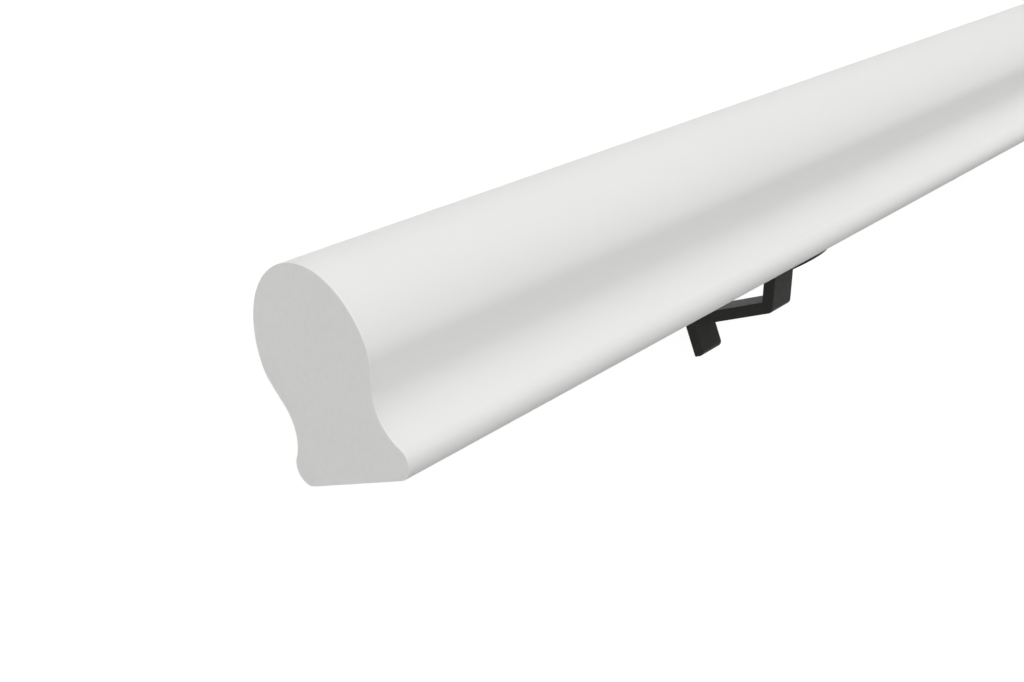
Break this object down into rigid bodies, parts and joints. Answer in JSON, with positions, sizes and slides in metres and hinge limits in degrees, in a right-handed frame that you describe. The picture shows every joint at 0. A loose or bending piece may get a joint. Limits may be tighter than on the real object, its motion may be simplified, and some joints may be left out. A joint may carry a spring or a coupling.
{
  "type": "handrail",
  "caption": "White moulded timber handrail with finger grooves along both sides, on black flat-bar wall brackets with oval saddles and screw holes in their wall plates.",
  "frame": {"origin": "on the back face of the middle bracket's wall plate, level with the rail's underside and midway along the rail", "axes": "+X along the rail, away from the end that the picture shows; +Y from the rail's flat underside to its crown, which is up once it is fixed to a wall; +Z out of the wall, and up as the part lies here on its wall plates"},
  "size_m": [2.4, 0.1157, 0.0896],
  "materials": {
    "rail_paint": "smooth satin white paint on timber, bare of wear",
    "bracket_coat": "matt black powder coat on steel"
  },
  "bodies": {
    "root": {"rail": "rail_paint", "bracket_near": "bracket_coat", "bracket_middle": "bracket_coat", "bracket_far": "bracket_coat"}
  },
  "joints": []
}
